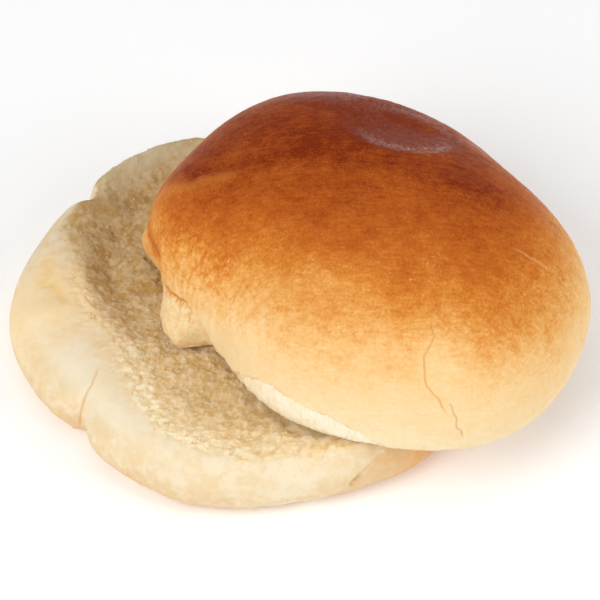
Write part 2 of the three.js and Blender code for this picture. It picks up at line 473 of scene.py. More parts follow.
heel_points = points_of(heel_mesh) - heel_shift
heel_x, heel_y, heel_z = heel_points.T
heel_around = np.degrees(np.arctan2(heel_y, heel_x)) % 360
heel_from_rim = take_mark(heel_mesh, "from_rim")
carve, creased = press_creases(heel_points, HEEL_CREASES, heel_lines)

# The skin goes over into crumb at the rim: raggedly at the front, and slowly at the left, where
# it was pulled off the next roll. The far rim is bare. The rows say how far, at which angle, and
# over what spread.
CRUMB_START = -0.4
CRUMB_EDGE = 1.6
SLOW_EDGE = [(5.5, 192, 38), (3, 158, 18)]
TORN_LEAD = 0.3
BARE_RIM = [(5, 122, 24), (4, 146, 15), (2.4, 275, 30), (5, 217, 26), (2.6, 158, 12), (2.2, 184, 12)]

ragged = 1.2 * lumps(heel_points, 3, seed=4) + 0.9 * lumps(heel_points, 8, seed=5)
past_skin = heel_from_rim + ragged + swellings(heel_around, BARE_RIM)
crumb_edge = CRUMB_EDGE + swellings(heel_around, SLOW_EDGE)
crumb = fade(past_skin, CRUMB_START, crumb_edge)
torn = fade(past_skin + TORN_LEAD * crumb_edge, CRUMB_START, crumb_edge)

# The crumb is denser and darker towards the back left, but not at the rim: denser crumb, with painted
# shade where the top half and the falling light darken it. The middle is a little darker with painted
# shade under the top half. It is tan by the cleft.
DENSE_AND_SHADED_TO_BACK = (-32, 14)
AIRY_LEFT = (198, 30)
AIRY_RIM = (-1, 6)
MIDDLE_SHADE = 0.45
SHADED_MIDDLE = (7, 15)
TAN_SPOT = ((-37, 32), (5, 4))

dense_and_shaded = fade(heel_y + 2.5 * lumps(heel_points, 7, seed=8), *DENSE_AND_SHADED_TO_BACK)
dense_and_shaded *= 1 - near(heel_around, *AIRY_LEFT) * (1 - fade(heel_from_rim, *AIRY_RIM))
shaded_middle = fade(heel_from_rim + lumps(heel_points, 6, seed=10), *SHADED_MIDDLE)
dense_and_shaded = np.maximum(dense_and_shaded, MIDDLE_SHADE * shaded_middle)
tanned = spot(heel_x, heel_y, *TAN_SPOT)


def rim_band(middle, spread, width, wander, lump, seed):
    """A band of crumb inside the rim about one angle, whose inner edge wanders."""
    inwards = heel_from_rim + wander * lumps(heel_points, lump, seed)
    return near(heel_around, middle, spread) * (1 - fade(inwards, 1, width))


# The crumb is dry and greyish at the bare far rim, pale at the front, partly with painted light away
# from the top half's shade, and straw-coloured at the left.
RIM_BANDS = {
    "dry": (116, 17, 9, 1.5, 4, 9),
    "pale_and_lit_rim": (240, 42, 10, 2, 4, 11),
    "straw": (178, 16, 6, 2, 5, 12),
}

# Baking, from 0, pale, to 1: golden on the open side at the right and back and underneath, tan along
# the foot, partly baking and partly painted shade low by the table, but less so at the front, and
# faint at the left. The flap browned more away from its edge, which leans to the right as it climbs.
OPEN_SIDE = 25
OPEN_SIDE_EDGE = (92, 60)
FLAP_EDGE = 299
FLAP_EDGE_HEIGHT = 8.2
FLAP_LEAN = 1.13
FLAP_END = (335, 350)
FLAP_MIDDLE = (303, 318)
UNDERSIDE_EDGE = (0.2, 2.6)
FOOT_EDGE = (4, 16)
PALE_FOOT = (0.65, 282, 18)
FAINT_LEFT = (0.1, 166, 20)
SIDE_BAKED = 0.5
FLAP_BAKED = 0.25
FLAP_MIDDLE_BAKED = 0.13
UNDERSIDE_BAKED = 0.5
FOOT_BAKED_AND_SHADED = 0.27

skin_z = heel_z + 1.2 * lumps(heel_points, 7, seed=6)
flap_edge = FLAP_EDGE + (heel_z - FLAP_EDGE_HEIGHT) * FLAP_LEAN
flap = fade(heel_around, flap_edge - 0.5, flap_edge + 0.7) * (1 - fade(heel_around, *FLAP_END))
baked = np.maximum.reduce([
    SIDE_BAKED * fade(np.abs(degrees_from(heel_around, OPEN_SIDE)), *OPEN_SIDE_EDGE),
    flap * (FLAP_BAKED + FLAP_MIDDLE_BAKED * fade(heel_around, *FLAP_MIDDLE)),
    UNDERSIDE_BAKED * (1 - fade(skin_z, *UNDERSIDE_EDGE)),
    # Tan along the foot, partly painted shade near the table.
    FOOT_BAKED_AND_SHADED * (1 - fade(skin_z, *FOOT_EDGE)) * (1 - swell(heel_around, *PALE_FOOT)),
    swell(heel_around, *FAINT_LEFT),
])

# The skin is whiter in a band below the rim at the front left, and by the flap. A row is a band's
# strength, the angle of its middle, its spread round the roll, its height and its spread up and down.
PALE_BANDS = [(1, 222, 26, 16.5, 1.8), (0.6, 289, 9, 14, 2.5)]

pale_band = sum(swell(heel_around, *row[:3]) * bell(heel_z, *row[3:]) for row in PALE_BANDS)
pale_band *= 1 - crumb

# Golden specks dust the skin just below the crumb at the front, and a few lie elsewhere. The foot
# is a little lumpy where the dough spread on the tray.
FEW_SPECKS = 0.25
FRONT_SPECKS = (0.75, 283, 22)
SPECKS_BELOW_RIM = (-11, -2)
LUMPY_FOOT = (3, 8)

specked = FEW_SPECKS + swell(heel_around, *FRONT_SPECKS) * fade(heel_from_rim, *SPECKS_BELOW_RIM)
foot_lumps = 0.3 * lumps(heel_points, 4.5, seed=22) + 0.12 * lumps(heel_points, 1.8, seed=23)
carve += (1 - fade(heel_z, *LUMPY_FOOT)) * foot_lumps

# Bits of crumb stand up: thinly on the part of the cut face that the top half leaves open, and
# thickly along its ragged front edge.
OPEN_FACE = (44, 49)
RAGGED_FRONT = (250, 48)
RAGGED_INSET = 0.5
RAGGED_WIDTH = 2.2
THIN_BITS = 0.3

crown_low, crown_high = (np.array(corner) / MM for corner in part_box("top_half"))
away = heel_points + heel_shift - (crown_low + crown_high) / 2
open_face = fade(np.hypot(away[:, 0], away[:, 1]), *OPEN_FACE)
ragged_edge = near(heel_around, *RAGGED_FRONT) * bell(heel_from_rim, RAGGED_INSET, RAGGED_WIDTH)
bitty = np.maximum(THIN_BITS * crumb, ragged_edge) * open_face * fade(torn, 0.2, 0.6)
mark(heel_mesh, {"crumb": crumb, "torn": torn, "carve": carve, "dense_and_shaded": dense_and_shaded, "tanned": tanned})
mark(heel_mesh, {label: rim_band(*band) for label, band in RIM_BANDS.items()})
mark(heel_mesh, {"pale_band": pale_band, "baked": baked, "specked": specked, "bitty": bitty})
mark(heel_mesh, creased)


def maths(tree, operation, *values):
    """A sum, product or the like of numbers."""
    return add(tree, "ShaderNodeMath", dict(enumerate(values)), operation=operation)[0]


def vector_maths(tree, operation, vector, other):
    """A sum or product of two vectors, or a vector scaled by a number."""
    inputs = {0: vector, "Scale" if operation == "SCALE" else 1: other}
    return add(tree, "ShaderNodeVectorMath", inputs, operation=operation)[0]


def ease(tree, value, low, high, start=0, end=1):
    """Goes smoothly from the start to the end while the value goes from low to high."""
    limits = {0: value, 1: low, 2: high, 3: start, 4: end}
    return add(tree, "ShaderNodeMapRange", limits, interpolation_type="SMOOTHSTEP")[0]


def per_metre(tree, size):
    """The scale of a pattern whose lumps are this many millimetres wide."""
    return maths(tree, "DIVIDE", 1 / MM, size)


def grain(tree, place, size, detail=2, roughness=0.5):
    """Noise from 0 to 1 with lumps about as wide as the size, in millimetres."""
    inputs = {"Vector": place, "Scale": per_metre(tree, size), "Detail": detail, "Roughness": roughness}
    return add(tree, "ShaderNodeTexNoise", inputs)


def two_sided_grain(tree, place, size, detail=2, roughness=0.5):
    """The same noise from -1 to 1."""
    return maths(tree, "MULTIPLY_ADD", grain(tree, place, size, detail, roughness)[0], 2, -1)


def scaled_sum(tree, terms):
    """Adds up patterns that are each multiplied by a height."""
    total = 0
    for pattern, height in terms:
        total = maths(tree, "MULTIPLY_ADD", pattern, height, total)
    return total


def cells(tree, place, size):
    """Cells about as wide as the size: how far from its middle each place is, and its chance."""
    found = add(tree, "ShaderNodeTexVoronoi", {"Vector": place, "Scale": per_metre(tree, size)})
    return found[0], add(tree, "ShaderNodeSeparateXYZ", {0: found[1]})[0]


def named(tree, label):
    """A number stored on the mesh, as a geometry tree reads it."""
    return add(tree, "GeometryNodeInputNamedAttribute", {"Name": label}, data_type="FLOAT")[0]


def store(tree, geometry, label, value):
    """Stores a number on the mesh for its material."""
    inputs = {"Geometry": geometry, "Name": label, "Value": value}
    return add(tree, "GeometryNodeStoreNamedAttribute", inputs, data_type="FLOAT", domain="POINT")[0]


def inputs_of(tree, sizes):
    """Gives a tree its geometry and material sockets and a named input for each size."""
    tree.interface.new_socket("Geometry", in_out="INPUT", socket_type="NodeSocketGeometry")
    tree.interface.new_socket("Geometry", in_out="OUTPUT", socket_type="NodeSocketGeometry")
    tree.interface.new_socket("Bread", in_out="INPUT", socket_type="NodeSocketMaterial")
    for name, value in sizes.items():
        socket = tree.interface.new_socket(name, in_out="INPUT", socket_type="NodeSocketFloat")
        socket.default_value = value
    return add(tree, "NodeGroupInput")


def finish_tree(tree, geometry, material):
    """Ends a tree in plain faces of one material."""
    geometry = add(tree, "GeometryNodeRealizeInstances", {"Geometry": geometry})[0]
    geometry = add(tree, "GeometryNodeSetMaterial", {"Geometry": geometry, "Material": material})[0]
    add(tree, "NodeGroupOutput", {"Geometry": geometry})


def bake_tree(piece, tree, settings, name=None):
    """Runs a tree on a piece with these settings and keeps the result as a plain mesh."""
    modifier = piece.modifiers.new(tree.name, "NODES")
    modifier.node_group = tree
    for item in tree.interface.items_tree:
        if item.in_out == "INPUT" and item.name in settings:
            modifier[item.identifier] = settings[item.name]
    evaluated = piece.evaluated_get(bpy.context.evaluated_depsgraph_get())
    mesh = bpy.data.meshes.new_from_object(evaluated)
    piece.modifiers.remove(modifier)
    if name:
        piece = bpy.data.objects.new(name, mesh)
        bpy.context.scene.collection.objects.link(piece)
    else:
        mesh.name = piece.data.name
        piece.data = mesh
    return piece


# The relief of torn crumb and of skin, in millimetres. Crumb is soft puffs and clumps over small
# open bubbles with raised walls, fine threads and sparse pits. Skin has faint ripples. Creases are
# pressed in, and nothing is raised where the bread lies on the table.
HALF_WAY = (0.5, 0.5, 0.5)
WARP = 1.1
CLEAR_OF_TABLE = 2

relief = bpy.data.node_groups.new("bread_relief", "GeometryNodeTree")
sizes = {
    "Warp Size": 2.2,
    "Puff Size": 3.2,
    "Puff Height": 0.26,
    "Clump Size": 2.3,
    "Clump Height": 0.5,
    "Bubble Size": 1.3,
    "Bubble Depth": 0.05,
    "Thread Size": 0.9,
    "Thread Height": 0.13,
    "Lump Size": 4.2,
    "Lump Height": 0.5,
    "Pit Spacing": 4.2,
    "Pit Depth": 0.6,
    "Ripple Size": 5,
    "Ripple Height": 0.2,
}
given = inputs_of(relief, sizes)
place = add(relief, "GeometryNodeInputPosition")[0]
warp = vector_maths(relief, "SUBTRACT", grain(relief, place, given["Warp Size"])[1], HALF_WAY)
warped = vector_maths(relief, "ADD", place, vector_maths(relief, "SCALE", warp, WARP * MM))
puffs = maths(relief, "ABSOLUTE", two_sided_grain(relief, warped, given["Puff Size"], 3))
puffs = ease(relief, puffs, 0, 0.34, -1, 0.5)
airy = ease(relief, named(relief, "dense_and_shaded"), 0, 1, 1, 0.3)
clumps = two_sided_grain(relief, place, given["Clump Size"], 3, 0.55)
bubble, bubble_chance = cells(relief, warped, given["Bubble Size"])
bubble = ease(relief, bubble, 0.12, 0.62, -1, 1)
bubble = maths(relief, "MULTIPLY", bubble, maths(relief, "MULTIPLY_ADD", bubble_chance, 0.8, 0.2))
pit, pit_chance = cells(relief, warped, given["Pit Spacing"])
pit_radius = ease(relief, pit_chance, 0.3, 1, 0.02, 0.24)
pit = ease(relief, maths(relief, "DIVIDE", pit, pit_radius), 0.35, 1, 1, 0)
bubbled = scaled_sum(relief, [
    (puffs, maths(relief, "MULTIPLY", given["Puff Height"], airy)),
    (clumps, given["Clump Height"]),
    (bubble, given["Bubble Depth"]),
    (two_sided_grain(relief, place, given["Thread Size"], 3, 0.6), given["Thread Height"]),
    (pit, maths(relief, "MULTIPLY", given["Pit Depth"], -1)),
])
crumb_mask = named(relief, "torn")
lump = two_sided_grain(relief, place, given["Lump Size"])
rough = maths(relief, "MULTIPLY_ADD", lump, given["Lump Height"], bubbled)
rough = maths(relief, "MULTIPLY", rough, crumb_mask)
ripple = two_sided_grain(relief, place, given["Ripple Size"])
smooth = maths(relief, "MULTIPLY", ripple, given["Ripple Height"])
smooth = maths(relief, "MULTIPLY", smooth, maths(relief, "SUBTRACT", 1, crumb_mask))
height = add(relief, "ShaderNodeSeparateXYZ", {0: place})[2]
rise = maths(relief, "SUBTRACT", maths(relief, "ADD", rough, smooth), named(relief, "carve"))
rise = maths(relief, "MULTIPLY", rise, ease(relief, height, 0, CLEAR_OF_TABLE * MM))
rise = maths(relief, "MULTIPLY", rise, MM)
offset = vector_maths(relief, "SCALE", add(relief, "GeometryNodeInputNormal")[0], rise)
shaped = add(relief, "GeometryNodeSetPosition", {"Geometry": given["Geometry"], "Offset": offset})[0]
# The crumb's low and high places, which take painted shade in its hollows and painted light on its
# peaks.
hollow = ease(relief, bubbled, -0.46, -0.08, 1, 0)
peak = ease(relief, bubbled, 0, 0.28)
shaped = store(relief, shaped, "hollow", maths(relief, "MULTIPLY", hollow, crumb_mask))
shaped = store(relief, shaped, "peak", maths(relief, "MULTIPLY", peak, crumb_mask))
finish_tree(relief, shaped, given["Bread"])


def tint(red, green, blue):
    """A colour as a display shows it, 0 to 255, in the linear numbers that a shader takes."""
    share = np.array([red, green, blue]) / 255
    linear = np.where(share <= 0.04045, share / 12.92, ((share + 0.055) / 1.055) ** 2.4)
    return (*linear.tolist(), 1)


def mix(tree, share, first, second, how="MIX"):
    """Two colours mixed, or multiplied, by a share from 0 to 1."""
    inputs = {0: share, 6: first, 7: second}
    return add(tree, "ShaderNodeMix", inputs, data_type="RGBA", blend_type=how)[2]


def marked(tree, label, strength=1):
    """A number stored on the mesh, from 0 to the given strength."""
    value = add(tree, "ShaderNodeAttribute", attribute_name=label)[2]
    return value if strength == 1 else maths(tree, "MULTIPLY", value, strength)


def tinted(tree, colour, rows):
    """Lays colours over one another: the mark that each one follows, its strength and its tint."""
    for label, strength, tone in rows:
        colour = mix(tree, marked(tree, label, strength), colour, tone)
    return colour


def patches(tree, place, size, detail, roughness, low, high, start=0, end=1):
    """Noise of one size that shows as patches: it eases between two strengths as it grows."""
    return ease(tree, grain(tree, place, size, detail, roughness)[0], low, high, start, end)


def roughen(tree, shader, height, depth, strength):
    """Grain too fine for the mesh to hold, this many millimetres deep."""
    inputs = {"Height": height, "Distance": depth * MM, "Strength": strength}
    tree.links.new(add(tree, "ShaderNodeBump", inputs)[0], shader.inputs["Normal"])


def new_bread(name, soaks):
    """A material for bread that light soaks into, with its tree, its shader and its places."""
    material = bpy.data.materials.new(name)
    material.use_nodes = True
    tree = material.node_tree
    shader = tree.nodes["Principled BSDF"]
    radius = {"Subsurface Radius": (1, 0.62, 0.3), "Subsurface Scale": 2 * MM}
    finish_with(shader, {"Subsurface Weight": soaks, **radius})
    return material, tree, shader, add(tree, "ShaderNodeTexCoord")["Object"]


# Torn crumb is cream. It is pale on the walls of its bubbles, partly with painted light on the high
# points of its relief, and more golden down in them, partly with painted shade in its hollows. Each
# row of tones is a kind of patch: its width in millimetres, the detail and roughness of its noise,
# the levels of the noise between which it comes in, how strong it is at both, and its colour.
CRUMB_CREAM = tint(236, 211, 166)
CRUMB_SHADE = tint(217, 179, 112)
CRUMB_WALL = tint(250, 237, 212)
CRUMB_HOLLOW = tint(202, 156, 78)
CRUMB_RIM = tint(249, 234, 200)
CRUMB_DENSE_SHADE = tint(217, 206, 187)
CRUMB_DRY = tint(213, 198, 162)
CRUMB_TONES = [
    (2.6, 4, 0.6, 0.38, 0.6, 1, 0, CRUMB_SHADE),
    (3.4, 3, 0.6, 0.56, 0.7, 0, 0.55, CRUMB_HOLLOW),
    (1.2, 3, 0.55, 0.5, 0.66, 0, 0.5, CRUMB_WALL),
]
RIM_CLUMPS = (2, 4, 0.65, 0.42, 0.6, 0.15, 0.95)
AIRY_CONTRAST = 0.6


def crumb_colour(tree, place):
    """The colour of torn crumb, softer and more even where it is airier and less shaded."""
    contrast = ease(tree, marked(tree, "dense_and_shaded"), 0, 1, AIRY_CONTRAST, 1)
    tones = [(patches(tree, place, *patch), tone) for *patch, tone in CRUMB_TONES]
    # Painted light on the relief's peaks and painted shade in its hollows.
    tones += [(marked(tree, "peak", 0.7), CRUMB_WALL), (marked(tree, "hollow", 0.85), CRUMB_HOLLOW)]
    colour = CRUMB_CREAM
    for share, tone in tones:
        colour = mix(tree, maths(tree, "MULTIPLY", share, contrast), colour, tone)
    # Pale clumps of crumb at the front rim, partly painted light.
    pale = maths(tree, "MULTIPLY", marked(tree, "pale_and_lit_rim"), patches(tree, place, *RIM_CLUMPS))
    colour = mix(tree, pale, colour, CRUMB_RIM)
    colour = tinted(tree, colour, [("tanned", 0.7, CRUMB_HOLLOW)])
    # Painted shade, with the denser crumb's own darker colour, towards the back left and in the middle.
    colour = mix(tree, marked(tree, "dense_and_shaded"), colour, mix(tree, 1, colour, CRUMB_DENSE_SHADE, "MULTIPLY"))
    return tinted(tree, colour, [("dry", 0.7, CRUMB_DRY)])


# The skin is cream with paler patches, and turns golden and then brown as it bakes. Its specks and
# the hole's edge are patches like the crumb's.
SKIN_WHITE = tint(244, 232, 206)
SKIN_PALE = tint(235, 219, 188)
SKIN_CREAM = tint(230, 205, 160)
PINCH_YELLOW = tint(240, 200, 118)
LINE_GOLD = tint(222, 168, 88)
STRAW = tint(252, 220, 166)
HOLE_SHADE = tint(196, 150, 92)
SKIN_SPECK = tint(228, 182, 112)
OVEN = [
    (0, tint(236, 212, 172)),
    (0.2, tint(224, 196, 152)),
    (0.4, tint(228, 174, 110)),
    (0.6, tint(206, 138, 76)),
    (1, tint(150, 84, 40)),
]
SKIN_SPECKS = (0.9, 3, 0.6, 0.6, 0.72)
HOLE_PATCHES = (1.2, 2, 0.5, 0.35, 0.6, 0.3, 0.9)
UNEVEN_BAKING = 0.2

skin_bread, tree, shader, place = new_bread("crumb_and_pale_skin", 0.35)
cloudy = [(grain(tree, place, 10, 4, 0.6)[0], 0.6), (grain(tree, place, 2, 4, 0.65)[0], 0.4)]
skin = mix(tree, ease(tree, scaled_sum(tree, cloudy), 0.4, 0.6), SKIN_PALE, SKIN_CREAM)
skin = tinted(tree, skin, [("pale_band", 0.65, SKIN_WHITE)])
specks = maths(tree, "MULTIPLY", patches(tree, place, *SKIN_SPECKS), marked(tree, "specked", 0.6))
skin = mix(tree, specks, skin, SKIN_SPECK)
uneven = two_sided_grain(tree, place, 2.5, 3)
browned = maths(tree, "MULTIPLY_ADD", uneven, UNEVEN_BAKING, marked(tree, "baked"))
skin = mix(tree, ease(tree, browned, 0.04, 0.2), skin, colour_ramp(tree, browned, OVEN))
# The flap's fold is drawn with painted shade along it.
skin = tinted(tree, skin, [("golden_line", 0.5, LINE_GOLD), ("flap_fold", 0.3, LINE_GOLD)])
colour = mix(tree, marked(tree, "crumb"), skin, crumb_colour(tree, place))
colour = tinted(tree, colour, [("straw", 0.65, STRAW), ("yellow_pinch", 0.48, PINCH_YELLOW)])
# Painted shade in the hole under the flap.
hole = maths(tree, "MULTIPLY", marked(tree, "flap_hole"), patches(tree, place, *HOLE_PATCHES))
colour = mix(tree, hole, colour, HOLE_SHADE)
tree.links.new(colour, shader.inputs["Base Color"])
tree.links.new(ease(tree, marked(tree, "crumb"), 0, 1, 0.6, 0.95), shader.inputs["Roughness"])
fine = grain(tree, place, 0.45, 4, 0.6)[0]
roughen(tree, shader, fine, 0.3, ease(tree, marked(tree, "crumb"), 0, 1, 0.22, 0.3))

bottom_half = bake_tree(bottom_half, relief, {"Bread": skin_bread})
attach(bottom_half, "root")
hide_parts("bottom_half")

# ---------------------------------------------------------------- torn crumb
# Bits of crumb that were pulled up when the roll was torn open, on the cut face and its ragged front
# edge. Each is a small uneven ball, sunk a little into the bread that it hangs on by.

BALL_SEGMENTS = 8
BALL_RINGS = 5
DENT_SCALE = 1.3
DENT_DEPTH = 0.9
FULL_TURN = (6.28, 6.28, 6.28)
DRAWN_IN = (0.6, 0.6, 0.6)
DRAWN_OUT = (1.3, 1.3, 1.3)
PER_SQUARE_METRE = 1e4

bits = bpy.data.node_groups.new("torn_bits", "GeometryNodeTree")
sizes = {"Bits On A Square Centimetre": 60, "Smallest": 0.2, "Largest": 0.5, "Sunk": 0.2}
given = inputs_of(bits, sizes)
crowding = maths(bits, "MULTIPLY", given["Bits On A Square Centimetre"], PER_SQUARE_METRE)
crowding = maths(bits, "MULTIPLY", crowding, named(bits, "bitty"))
scattered = {"Mesh": given["Geometry"], "Density": crowding, "Seed": 7}
points, outward, _ = add(bits, "GeometryNodeDistributePointsOnFaces", scattered)[:3]
sunk = vector_maths(bits, "SCALE", outward, maths(bits, "MULTIPLY", given["Sunk"], -MM))
points = add(bits, "GeometryNodeSetPosition", {"Geometry": points, "Offset": sunk})[0]
ball = {"Segments": BALL_SEGMENTS, "Rings": BALL_RINGS, "Radius": 1}
ball = add(bits, "GeometryNodeMeshUVSphere", ball)[0]
dents = add(bits, "ShaderNodeTexNoise", {"Scale": DENT_SCALE, "Detail": 2})[1]
dents = vector_maths(bits, "SUBTRACT", dents, HALF_WAY)
dents = vector_maths(bits, "SCALE", dents, DENT_DEPTH)
ball = add(bits, "GeometryNodeSetPosition", {"Geometry": ball, "Offset": dents})[0]
turn = {0: (0, 0, 0), 1: FULL_TURN, "Seed": 11}
turn = add(bits, "FunctionNodeRandomValue", turn, data_type="FLOAT_VECTOR")[0]
stretch = {0: DRAWN_IN, 1: DRAWN_OUT, "Seed": 12}
stretch = add(bits, "FunctionNodeRandomValue", stretch, data_type="FLOAT_VECTOR")[0]
size = {2: given["Smallest"], 3: given["Largest"], "Seed": 13}
size = maths(bits, "MULTIPLY", add(bits, "FunctionNodeRandomValue", size, data_type="FLOAT")[1], MM)
stretch = vector_maths(bits, "SCALE", stretch, size)
placed = {"Points": points, "Instance": ball, "Rotation": turn, "Scale": stretch}
placed = add(bits, "GeometryNodeInstanceOnPoints", placed)[0]
placed = add(bits, "GeometryNodeRealizeInstances", {"Geometry": placed})[0]
placed = add(bits, "GeometryNodeSetShadeSmooth", {"Geometry": placed})[0]
# Loose bits take a little of the crumb's painted light on peaks and none of its painted shade.
for label, value in (("crumb", 1), ("peak", 0.4), ("hollow", 0)):
    placed = store(bits, placed, label, value)
finish_tree(bits, placed, given["Bread"])

bit_bread, tree, shader, place = new_bread("torn_crumb_bits", 0)
tree.links.new(crumb_colour(tree, place), shader.inputs["Base Color"])
finish_with(shader, {"Roughness": 0.95})
roughen(tree, shader, grain(tree, place, 0.3, 3)[0], 0.2, 0.4)

torn_crumb = bake_tree(bottom_half, bits, {"Bread": bit_bread}, "torn_crumb")
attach(torn_crumb, "root")

# ---------------------------------------------------------------- top half
# The domed half, brushed with egg before baking: dark red-brown and glossy on top, golden down the
# sides and cream at the front edge, where it touched the next roll and tore off it.

CROWN_RADIUS = 52.3
CROWN_LOBES = [(2, 6.3, 133), (4, 0.6, 81), (5, 0.5, 28), (6, 0.8, 59)]
CROWN_HEIGHT = 40.6
CROWN_WIDEST = 7
CROWN_TUCK = 2.5
CROWN_HOLLOW = 1.4
CROWN_LEAN = (-4, -1)
DOME_POWER = 0.95

# The dimple behind the middle of the top, and the flat floor in it: the middle and the reach of each
# in x and y. The floor runs out between two shares of its reach.
DIMPLE = ((8, 26), (14, 9))
DIMPLE_DEPTH = 2.4
FLOOR_MIDDLE = (7.5, 27)
FLOOR_REACH = (15.7, 15)
FLOOR_EDGE = (0.72, 1.06)
FLOOR_DEPTH = 0.9

# The torn lobe hangs over the crumb between these angles, and up to this height.
LOBE_BACK = (180, 197)
LOBE_FRONT = (199.5, 204.5)
LOBE_REACH = 8
LOBE_TOP = 12
LOBE_SAG = 1.2

# What else departs from the even round: how far, at which angle, over what spread, and the heights
# between which it comes in or fades out. The crust is pared between the fold and the lobe, and at
# the lobe's front corner.
FOLD = (3.8, 167, 4.5)
PARED = [(1.14, 177, 5), (1.216, 197, 4.5)]
FOLD_TOP = (5, 15)
HEM = (0.9, 226, 14)
HEM_TOP = (4, 12)
CHEEK = (1.9, 166, 15)
CHEEK_FOOT = (8, 16)
CHEEK_TOP = (26, 38)

# Points round the crown, set closer at the front, and its rings: their shares of the cut face, and
# how many there are up the tucked-in hem and up the dome.
CROWN_COLUMNS = 640
CROWN_CLOSER = (0.5, 250, 75)
FACE_SHARES = (0, 0.15, 0.3, 0.45, 0.6, 0.7, 0.8, 0.86, 0.91, 0.95, 0.98, 1)
TUCK_RINGS = 14
DOME_RINGS = 94

crown_angle = spaced_angles(CROWN_COLUMNS, CROWN_CLOSER)
torn_lobe = fade(crown_angle, *LOBE_BACK) * (1 - fade(crown_angle, *LOBE_FRONT))
crown_plain = lobed(crown_angle, CROWN_RADIUS, CROWN_LOBES)


def crown_outline(height):
    """How far out the crown reaches at a height."""
    lobe = LOBE_REACH * torn_lobe * (1 - fade(height, 0, LOBE_TOP))
    fold = swell(crown_angle, *FOLD) - swellings(crown_angle, PARED)
    fold *= 1 - fade(height, *FOLD_TOP)
    hem = swell(crown_angle, *HEM) * (1 - fade(height, *HEM_TOP))
    cheek = swell(crown_angle, *CHEEK) * fade(height, *CHEEK_FOOT) * (1 - fade(height, *CHEEK_TOP))
    return crown_plain + lobe + fold + hem + cheek


def from_floor(x, y):
    """How far out from the middle of the dimple's floor a place is, 1 at the floor's edge."""
    return np.hypot((x - FLOOR_MIDDLE[0]) / FLOOR_REACH[0], (y - FLOOR_MIDDLE[1]) / FLOOR_REACH[1])


def crown_cut(share):
    """A ring of the hollow cut face, from the middle, 0, to its edge, 1."""
    ring = polar(crown_angle, (crown_outline(0) - CROWN_TUCK) * share, 0)
    edge = share**6
    uneven = CRUMB_RELIEF * crumb_lumps(ring[:, 0], ring[:, 1]) * (1 - edge)
    ring[:, 2] = CROWN_HOLLOW * (1 - share**3) + uneven - LOBE_SAG * torn_lobe * edge
    return ring


def crown_tuck(climb):
    """A ring of the tucked-in hem, from the cut face up to the widest part of the side."""
    a = (climb - 1) * np.pi / 2
    z = CROWN_WIDEST * (1 + np.sin(a))
    radius = crown_outline(z) - CROWN_TUCK * (1 - np.cos(a))
    return polar(crown_angle, radius, z - LOBE_SAG * torn_lobe * (1 - climb))


def crown_dome(climb):
    """A ring of the leaning dome, from the widest part of the side up to the top."""
    slope = (1 - climb) * np.pi / 2
    rise = max(np.cos(slope), 0) ** DOME_POWER
    z = CROWN_WIDEST + (CROWN_HEIGHT - CROWN_WIDEST) * rise
    ring = polar(crown_angle, crown_outline(z) * np.sin(slope) ** DOME_POWER, z)
    ring[:, :2] += np.array(CROWN_LEAN) * rise
    x, y = ring[:, 0], ring[:, 1]
    floor = 1 - fade(from_floor(x, y), *FLOOR_EDGE)
    ring[:, 2] -= DIMPLE_DEPTH * spot(x, y, *DIMPLE) + FLOOR_DEPTH * floor
    return ring


crown_rings = [crown_cut(share) for share in FACE_SHARES]
crown_edge_ring = len(crown_rings) - 1
crown_rings += [crown_tuck(climb) for climb in steps(TUCK_RINGS)]
crown_rings += [crown_dome(climb) for climb in steps(DOME_RINGS)]
crown_rings = np.array(crown_rings)

crown_shift = shift_to_node(crown_rings, "top_half")
from_edge = distance_up(crown_rings, crown_edge_ring)
top_half = closed_skin("top_half_crust", crown_rings + crown_shift, {"from_edge": from_edge})
crown_mesh = top_half.data

# Where the crust split or folded as the dough rose: what shows in each place, where it runs, and
# its width and depth.
CROWN_CREASES = [
    ("crack", [(13.3, -36.5, 32), (12.8, -38.6, 31.1), (13.3, -40.7, 29.8), (11.6, -44.5, 27),
               (11.4, -49.2, 21.6), (14.5, -51.1, 18.3), (17.2, -52.4, 13.4)], 0.26, 0.3),
    ("hairline", [(16.9, -51.3, 17.4), (18.2, -52.3, 14.3), (19.7, -52.9, 10.1),
                  (21, -52.8, 6.7)], 0.22, 0.12),
    ("hairline", [(-45.6, -14.6, 10.8), (-45.7, -16, 8.8), (-45.9, -17.3, 6.9)], 0.3, 0.15),
    ("golden_crack", [(-52.2, -4.7, 8.2), (-51.1, -6.5, 9), (-49.7, -9.2, 9.2), (-47.9, -11.5, 10.2),
                      (-45.6, -14.5, 10.9)], 0.5, 0.3),
    ("slit", [(-56.7, 12.3, 9.6), (-56.4, 10.5, 9.6), (-55.8, 6.5, 13), (-55.2, 3.6, 14.4),
              (-54.3, 0.9, 15.1), (-53.2, -2, 15.3), (-52.6, -3.8, 14.7)], 1.2, 0.6),
    # A crease down the right side, drawn pale by a painted highlight along it.
    ("highlit_crease", [(31.4, -14.4, 32.9), (37.6, -15.4, 29.4), (43.9, -16.4, 24.4), (49, -17.2, 18),
                   (51.2, -18.9, 12.6)], 0.3, 0.2),
    ("warm_line", [(-51.7, 14.6, 20), (-47.7, 9.8, 26.5), (-44.1, 7.7, 29.8), (-40.9, 8, 31.9),
                   (-36.2, 6.9, 34.5), (-32, 6.4, 36)], 1.5, -0.3),
    ("fold_line", [(-33, -28.8, 20.5), (-31.3, -28.7, 22.5), (-26.4, -27.9, 28.8), (-21.6, -26.3, 32.7),
                   (-18.5, -24.1, 35)], 0.7, 0.35),
]
CRACK_MARGIN = 0.9

